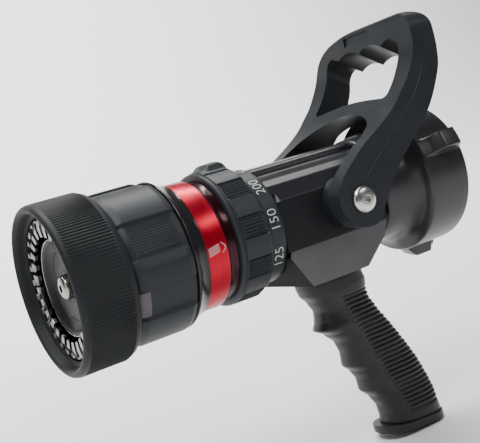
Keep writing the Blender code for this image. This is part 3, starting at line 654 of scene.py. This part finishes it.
def markings():
    for text, centre in (("200", 48.3), ("150", 83.5), ("125", 121.0), ("250", 12.0), ("300", 336.0)):
        wrapped_number("number_" + text, text, centre, "flow_selector")
    strips = []
    for i in range(5):
        start = 91.6 + 1.5 * i
        strips.append([(-200.6, start - 0.1), (-200.6, start + 0.45), (-193.2, start - 1.9),
                       (-193.2, start - 2.45)])
    for i in range(8):
        a = 88.6 + 1.1 * i
        bow = 2.4 * math.sin(math.pi * i / 8)
        after = 2.4 * math.sin(math.pi * (i + 1) / 8)
        strips.append([(-192.0 + bow, a), (-191.5 + bow, a), (-191.5 + after, a + 1.1),
                       (-192.0 + after, a + 1.1)])
    verts, faces = [], []
    for strip in strips:
        base = len(verts)
        for x, angle in strip:
            verts.append((x, *polar(40.46, angle)))
        faces.append((base, base + 1, base + 2, base + 3))
    publish("spray_mark", verts, faces, "white_mark", "nozzle_body")


# ---------------------------------------------------------------- body, saddle, grip

def body_half():
    return [(0.0, 35.6), (6.5, 35.0), (9.6, 33.2), (10.4, 30.6), (11.8, 29.2), (15.0, 28.0), (21.0, 26.4),
            (27.0, 22.6), (31.6, 16.2), (33.8, 12.8), (34.0, 10.0), (34.0, -19.25), (28.2, -19.25)]


def valve_body():
    half = [(y, z, 0.9) for y, z in body_half()]
    outline = soften(half, closed=False, steps=3)
    outline += arc((0, 0), 34.4, -36.5, -90.0, 16)[:-1] + [(0.0, -34.4)]
    solid = prism(mirrored(outline), -144.5, -64.5, "x")
    steps = [("UNION", rod_mesh(16.5, 30.5, 41.5, (PIVOT_X, 0.0), count=64)),
             ("UNION", rod_mesh(16.5, -41.5, -30.5, (PIVOT_X, 0.0), count=64)),
             ("DIFFERENCE", rod_mesh(30.0, -150.0, -50.0, (0.0, 0.0), "x", 64)),
             ("DIFFERENCE", rod_mesh(10.0, -70.0, 70.0, (PIVOT_X, 0.0), "y", 48))]
    mesh = carve(solid, steps, bevel=0.9, segments=3, bevel_angle=40)
    adopt("machined_body", mesh, "hardcoat", "nozzle_body", ("valve_body",), angle=30, flat=True)
    pointer = prism([(-144.4, 12.2), (-141.2, 12.6), (-142.2, 15.0), (-144.0, 17.6)], -34.5, -26.0, "y")
    mark = bpy.data.meshes.new("pointer")
    pointer.to_mesh(mark)
    pointer.free()
    adopt("index_pointer", mark, "dull_steel", "nozzle_body")


def grip_saddle():
    side = [(-142.0, -19.6), (-64.8, -19.6), (-69.0, -29.0), (-88.0, -44.6), (-132.5, -44.6),
            (-143.5, -23.0)]
    front = mirrored([(33.4, -10.0), (33.4, -43.4), (31.2, -45.6)])
    steps = [("INTERSECT", prism(front, -150.0, -60.0, "x")),
             ("DIFFERENCE", rod_mesh(34.9, -155.0, -55.0, (0.0, 0.0), "x", 96))]
    mesh = carve(prism(side, -32.4, 32.4, "y"), steps, bevel=0.8, segments=3)
    saddle = adopt("machined_saddle", mesh, "satin_grey", "nozzle_body", ("grip_saddle",),
                   angle=30, flat=True)
    # Faces that look forward get a second, near-black finish: painted shade on the saddle's nose, where its
    # faces turn away from the light.
    saddle.data.materials.append(FINISH["painted_shade_grey"])
    for face in saddle.data.polygons:
        if face.normal.x < -0.3:
            face.material_index = 1


# Rows down the grip: height, front x, back x, half width. Points picked on the photo, put through
# the solved camera by a scratch script and shifted by hand: see the report.
GRIP_ROWS = (
    (-45.0, -123.4, -75.2, 15.6), (-50.0, -123.0, -75.4, 16.0), (-55.0, -121.9, -74.4, 16.0),
    (-61.0, -117.4, -75.6, 15.6), (-68.0, -114.7, -75.0, 15.2), (-75.0, -116.0, -71.6, 15.2),
    (-80.0, -118.6, -69.0, 15.2), (-85.0, -111.2, -66.2, 15.2), (-92.5, -104.9, -62.0, 15.0),
    (-100.5, -103.0, -57.8, 15.0), (-109.5, -103.6, -53.2, 15.0), (-114.7, -99.0, -50.9, 15.0),
    (-121.5, -95.9, -47.9, 15.0), (-129.5, -95.4, -45.2, 15.0), (-137.0, -88.8, -43.0, 15.0),
    (-145.0, -84.9, -41.2, 15.2), (-153.0, -83.9, -40.6, 15.4), (-158.0, -84.6, -40.2, 15.6),
)


def grip_row(z):
    """Front x, back x and half width at a height, between the given rows."""
    for upper, lower in zip(GRIP_ROWS, GRIP_ROWS[1:]):
        if lower[0] <= z <= upper[0]:
            t = (z - upper[0]) / (lower[0] - upper[0])
            t = smooth_step(t) * 0.5 + t * 0.5
            return [a + (b - a) * t for a, b in zip(upper[1:], lower[1:])]
    return list(GRIP_ROWS[-1][1:])


FINGER_RIDGES = (-56.0, -80.5, -110.0, -130.0, -157.0)


def finger_hollow(z):
    """0 on the ridges between the fingers, 1 half way between them."""
    for upper, lower in zip(FINGER_RIDGES, FINGER_RIDGES[1:]):
        if lower <= z <= upper:
            return math.sin(math.pi * (z - upper) / (lower - upper)) ** 2
    return 0.0


RIB_PITCH, RIB_DEPTH = 3.15, 1.45
FIRST_RIB = -62.0
RIB_EDGE_AT, RIB_EDGE_LEAN = -102.0, 30.0 / 90.0    # front edge of the ribbed flank


def pistol_grip():
    count, top, bottom, step = 96, -45.0, -158.0, 0.4
    rows = int((top - bottom) / step)
    verts, faces = [], []
    for row in range(rows + 1):
        z = top + (bottom - top) * row / rows
        front, back, width = grip_row(z)
        edge = RIB_EDGE_AT + RIB_EDGE_LEAN * (FIRST_RIB - z)
        inside = smooth_step((-59.5 - z) / 2.5) * smooth_step((z + 154.5) / 1.5)
        groove = 0.5 - 0.5 * math.cos(2 * math.pi * (z - FIRST_RIB) / RIB_PITCH)
        groove = groove ** 2.4
        for k in range(count):
            turn = 2 * math.pi * k / count
            c, s = math.cos(turn), math.sin(turn)
            x = (front + back) / 2 + math.copysign(abs(c) ** 0.72, c) * (back - front) / 2
            y = math.copysign(abs(s) ** 0.78, s) * width
            flank = smooth_step((x - edge) / 1.3) * inside
            cut = flank * (0.1 + 0.9 * groove) * RIB_DEPTH
            out_x, out_y = abs(c) ** 1.3, abs(s) ** 1.3
            size = math.hypot(out_x, out_y)
            x -= math.copysign(cut * out_x / size, c)
            y -= math.copysign(cut * out_y / size, s)
            y *= 1 - 0.085 * finger_hollow(z) * smooth_step((edge + 1.0 - x) / 13.0)
            drop = FOOT_SLOPE * (x + 70.0) * smooth_step((-150.0 - z) / 8.0)
            verts.append((x, y, z + drop))
    for row in range(rows):
        for k in range(count):
            n = (k + 1) % count
            here, below = row * count, (row + 1) * count
            faces.append((here + k, here + n, below + n, below + k))
    faces.append(tuple(range(count)))
    faces.append(tuple(rows * count + k for k in range(count)))
    publish("ribbed_grip", verts, faces, "grip_rubber", "nozzle_body", ("pistol_grip",), angle=60)


def grip_base():
    outline = arc((-74.5, 0), 17.0, 90, 270, 24) + arc((-55.5, 0), 17.0, -90, 90, 24)
    bm = prism(outline, -163.8, -158.5, "z")
    for vert in bm.verts:
        vert.co.z += FOOT_SLOPE * (vert.co.x + 70.0 * MM)
    foot = Vector((-66.0, 0.0, -164.0))
    up = (Vector((-98.0, 0.0, -38.0)) - foot).normalized()
    hole = rod_mesh(6.4, -10.0, 3.2, (0.0, 0.0), "z", 40)
    turn = Vector((0, 0, 1)).rotation_difference(up).to_matrix().to_4x4()
    bmesh.ops.transform(hole, matrix=Matrix.Translation(foot * MM) @ turn, verts=hole.verts)
    mesh = carve(bm, [("DIFFERENCE", hole)], bevel=1.1, segments=4)
    adopt("grip_foot", mesh, "grip_rubber", "nozzle_body", ("grip_base",), angle=40, flat=True)


# ---------------------------------------------------------------- handle

def handle_side():
    rear = [(-85.0, -13.5), (-75.0, 0.0), (-61.0, 14.5), (-47.0, 26.0), (-26.0, 44.0), (-11.5, 65.0),
            (-7.6, 78.0), (-6.8, 92.0), (-8.2, 100.5), (-12.5, 105.4), (-19.5, 108.0)]
    front = [(-23.5, 107.2), (-25.5, 104.5), (-26.0, 95.0), (-27.5, 82.0), (-37.0, 67.0),
             (-48.0, 56.0), (-56.0, 49.0), (-69.0, 41.0), (-84.0, 33.0), (-95.0, 25.5), (-107.0, 16.0)]
    end = arc((-95.0, 1.5), 19.0, 158, 290, 9)
    return spline(rear + front + end, 4)


def bail_handle():
    far = spline([(9.0, 107.4), (14.0, 106.7), (24.0, 104.8), (34.0, 102.2), (43.0, 98.0), (49.5, 92.4),
                  (53.8, 86.0), (55.4, 79.0), (55.8, 72.0)], 3, closed=False)
    outside = ([(-42.0, 107.8), (4.0, 107.8)] + far + [(55.8, -25.0), (-55.8, -25.0)]
               + arc((-42.8, 94.8), 13.0, 180, 90, 8))
    finger_pitch, finger_depth = 24.0, 3.6
    hole_top = [(y, 83.4 - finger_depth * (1 - abs(math.sin(math.pi * y / finger_pitch)) ** 0.8))
                for y in range(31, -37, -1)]
    hole = ([(-37, 56.2), (-30, 57.2), (-20, 58.6), (-10, 59.7), (0, 60.0), (10, 59.7),
             (20, 58.6), (30, 57.2), (37, 56.2)]
            + arc((37.0, 60.2), 4.0, -80, 0, 4) + arc((29.0, 71.5), 12.0, 0, 75, 6)
            + hole_top + arc((-37.0, 77.0), 4.0, 100, 180, 4) + arc((-37.0, 60.2), 4.0, 180, 260, 4))
    window = prism(hole, -66.0, -4.0, "x")
    for vert in window.verts:
        start = -0.008 if vert.co.z > 0.070 else -0.046
        vert.co.z -= LEAN * (vert.co.x - start)
    arch = prism([(44.0, 0.0)] + arc((0, 0), 52.0, 33, 147, 40) + [(-44.0, 0.0)], -66.5, -30.0, "x")
    for vert in arch.verts:
        vert.co.z -= LEAN * (vert.co.x + 0.052)
    channel = prism([(44.0, -30.0), (44.0, 26.0), (-44.0, 26.0), (-44.0, -30.0)], -130.0, 10.0, "x")
    mouth = prism([(44.0, 20.0)] + arc((0, 8.6), 52.0, 33, 147, 40) + [(-44.0, 20.0)], -130.0, -66.0, "x")
    behind = spline([(-44.0, 24.0), (-42.5, 38.0), (-40.0, 44.0), (-36.5, 50.0), (-31.0, 58.0),
                     (-27.0, 66.0)], 4, closed=False) + [(2.0, 66.0), (2.0, 24.0)]
    plate = prism([(-30.0, 98.5), (-24.7, 98.5), (-24.2, 104.6), (-30.0, 104.6)], -14.0, 14.0, "y")
    steps = [("INTERSECT", prism(outside, -130.0, 10.0, "x")),
             ("DIFFERENCE", window), ("DIFFERENCE", channel), ("DIFFERENCE", mouth), ("DIFFERENCE", arch),
             ("DIFFERENCE", prism(behind, -41.0, 41.0, "y")),
             ("DIFFERENCE", plate)]
    for side in (-1, 1):
        low, high = sorted((side * 34.2, side * 50.2))
        steps.append(("DIFFERENCE", rod_mesh(6.2, low, high, (PIVOT_X, 0.0))))
        low, high = sorted((side * 34.0, side * 64.0))
        steps.append(("DIFFERENCE", rod_mesh(3.5, low, high, (PIVOT_X, 0.0))))
    mesh = carve(prism(handle_side(), -57.0, 57.0, "y"), steps, bevel=1.25, segments=3,
                 bevel_angle=40, weld=0.15)
    adopt("moulded_handle", mesh, "handle", "bail_handle", ("bail_handle",), angle=38, flat=True)


def parting_lines():
    path = spline([(-90.0, 12.0), (-76.0, 23.0), (-62.0, 34.0), (-49.0, 43.5), (-36.5, 54.0), (-26.0, 67.0),
                   (-20.0, 80.0), (-18.0, 93.0), (-18.5, 101.0)], 6, closed=False)
    for side, label, top in ((-1, "left", 93.0), (1, "right", 74.0)):
        verts, faces = [], []
        for i, (x, z) in enumerate(p for p in path if p[1] < top):
            after = Vector(path[min(i + 1, len(path) - 1)]) - Vector(path[max(i - 1, 0)])
            across = Vector((-after.y, after.x)).normalized() * 0.3
            verts += [(x - across.x, side * 55.7, z - across.y), (x, side * 56.0, z),
                      (x + across.x, side * 55.7, z + across.y)]
            if i:
                base = 3 * i
                faces += [(base - 3, base - 2, base + 1, base), (base - 2, base - 1, base + 2, base + 1)]
        publish("handle_seam_" + label, verts, faces, "handle", "bail_handle", angle=80)


def pivot_bolts():
    for side, label in ((-1, "left"), (1, "right")):
        place = Matrix.Translation((PIVOT_X, 0, 0)) @ Matrix.Rotation(side * math.pi / 2, 4, "Z")
        head = -60.0
        hex_screw("button_bolt_" + label, [
            (head + 0.35, 0, 0), (head + 0.4, 4.4, 0.4), (head + 1.2, 6.9, 0.9), (head + 2.6, 8.3, 0.8),
            (head + 3.7, 8.6, 0.3), (head + 3.7, 3.05, 0.0), (head + 21.7, 3.05, 0.0)], 2.1, 2.9, "steel",
            "bail_handle", ("pivot_bolt_" + label,), place)


# ---------------------------------------------------------------- swivel coupling

LUG_ANGLES = (68.0, 188.0, 308.0)


def swivel_coupling():
    def lug_height(angle):
        return max(smooth_step((8.4 - abs(away(angle, centre))) / 2.6) for centre in LUG_ANGLES)

    def profile_at(angle):
        lug = lug_height(angle)
        near = max(smooth_step((26.0 - abs(away(angle, centre))) / 20.0) for centre in LUG_ANGLES)

        def mix(ring, top):
            return ring + (top - ring) * lug
        cove = 1.4 * near
        return soften([
            (-61.5, 32.0, 0.0), (-61.5, 34.6, 0.5), (-60.4, 36.2, 0.5), (-52.0, 37.1, 2.0),
            (-46.0, 37.6, 2.0), (-41.0, 38.3 + cove * 0.5, 1.5), (-37.6, 40.0 + cove, 1.5),
            (-35.4, 43.2 + cove, 1.0), (-34.2, 46.8 + cove * 0.5, 0.5), (-33.5, 48.2, 0.4),
            (-32.2, 48.7, 0.4), (-25.6, mix(48.7, 50.8), 0.5), (-20.4, mix(48.7, 56.0), 1.2),
            (-18.4, mix(48.7, 57.0), 0.6), (-6.0, mix(48.7, 57.0), 0.6), (-5.2, mix(48.7, 55.6), 0.3),
            (-4.6, mix(48.6, 53.2), 0.3), (-2.6, mix(48.6, 52.6), 0.3), (-1.9, mix(48.5, 48.8), 0.2),
            (-1.0, 48.4, 0.5), (0.0, 47.5, 0.4), (0.0, 40.0, 0.5), (-1.4, 38.5, 0.3), (-26.9, 38.5, 0.0),
            (-26.9, 32.0, 0.0), (-50.2, 32.0, 0.0), (-50.2, 33.3, 0.0), (-54.0, 33.3, 0.0),
            (-54.0, 32.0, 0.0),
        ])

    edges = [centre + 0.35 * k for centre in LUG_ANGLES for k in range(-27, 28)]
    stations = merge_stations([2.0 * i for i in range(180)], edges)
    verts, faces = ring_mesh(stations, profile_at)
    publish("lugged_coupling", verts, faces, "coupling", "swivel_coupling", ("swivel_coupling",), angle=34)
    hose_thread()


def hose_thread():
    """Helical ridge in the socket, seven turns."""
    turns, steps, start, pitch = 7, 60, -20.4, 2.6
    lines, quads = [], []
    for i in range(turns * steps + 1):
        angle = 360.0 * i / steps
        x = start + pitch * i / steps
        base = len(lines)
        for dx, r in ((-1.0, 38.6), (-0.15, 37.7), (0.15, 37.7), (1.0, 38.6)):
            lines.append((x + dx, *polar(r, angle)))
        if i:
            for k in range(3):
                quads.append((base + k, base + k + 1, base + k - 3, base + k - 4))
    publish("hose_thread", lines, quads, "coupling", "swivel_coupling", angle=50)


def build_pieces():
    front_bumper()
    pattern_sleeve()
    painted_ramp_highlight()
    sleeve_collar()
    spinning_teeth()
    baffle()
    baffle_rim()
    baffle_screw()
    bands()
    flow_ring()
    markings()
    valve_body()
    grip_saddle()
    pistol_grip()
    grip_base()
    bail_handle()
    parting_lines()
    pivot_bolts()
    swivel_coupling()


build_pieces()


# ---------------------------------------------------------------- stage, light, camera

def aim_at(obj, target):
    obj.rotation_euler = (Vector(target) - obj.location).to_track_quat("-Z", "Y").to_euler()


def soft_light(name, location, target, size, power):
    data = bpy.data.lights.new(name, "AREA")
    data.shape = "RECTANGLE"
    data.size, data.size_y = size
    data.energy = power
    light = bpy.data.objects.new(name, data)
    light.location = location
    bpy.context.scene.collection.objects.link(light)
    aim_at(light, target)


def stage():
    """Pale floor that curves up into a backdrop behind the object."""
    floor_z = cad_box[0][2] - 0.0006
    profile = [(-3.0, 0.0), (1.6, 0.0)]
    for i in range(1, 11):
        turn = math.pi / 2 * i / 10
        profile.append((1.6 + 1.2 * math.sin(turn), 1.2 - 1.2 * math.cos(turn)))
    profile.append((2.8, 1.5))
    verts = [(x, y, z + floor_z) for y, z in profile for x in (-5.0, 5.0)]
    faces = [(2 * i, 2 * i + 1, 2 * i + 3, 2 * i + 2) for i in range(len(profile) - 1)]
    mesh = bpy.data.meshes.new("floor")
    mesh.from_pydata(verts, [], faces)
    mesh.shade_smooth()
    mesh.materials.append(FINISH["floor"])
    floor = bpy.data.objects.new("floor", mesh)
    bpy.context.scene.collection.objects.link(floor)


def light_and_camera():
    world = bpy.data.worlds.new("studio")
    bpy.context.scene.world = world
    world.use_nodes = True
    world.node_tree.nodes["Background"].inputs["Color"].default_value = (0.95, 0.97, 1.0, 1.0)
    world.node_tree.nodes["Background"].inputs["Strength"].default_value = 0.13
    middle = (-0.15, 0.0, 0.0)
    soft_light("key", (-0.75, -0.6, 1.3), middle, (0.6, 0.6), 15.0)
    soft_light("top_strip", (-0.1, -0.1, 1.4), middle, (1.3, 0.35), 6.0)
    soft_light("side_strip", (0.42, -0.92, 0.72), middle, (0.6, 0.25), 3.4)
    soft_light("front_strip", (-1.3, -0.35, 0.25), middle, (0.3, 0.9), 1.6)
    soft_light("back_wall", (0.2, 1.0, 2.4), (0.3, 2.8, 0.4), (3.0, 1.0), 250.0)
    data = bpy.data.cameras.new("camera")
    data.sensor_width = 36.0
    data.lens = 69.96
    camera = bpy.data.objects.new("camera", data)
    camera.location = (-0.44289, -0.51398, 0.05103)
    pan, tilt, roll = math.radians(-29.44), math.radians(-4.43), math.radians(-15.37)
    turn = Matrix.Rotation(pan, 3, "Z") @ Matrix.Rotation(math.pi / 2 + tilt, 3, "X")
    camera.rotation_euler = (turn @ Matrix.Rotation(roll, 3, "Z")).to_euler()
    bpy.context.scene.collection.objects.link(camera)
    bpy.context.scene.camera = camera


stage()
light_and_camera()
bpy.context.view_layer.update()
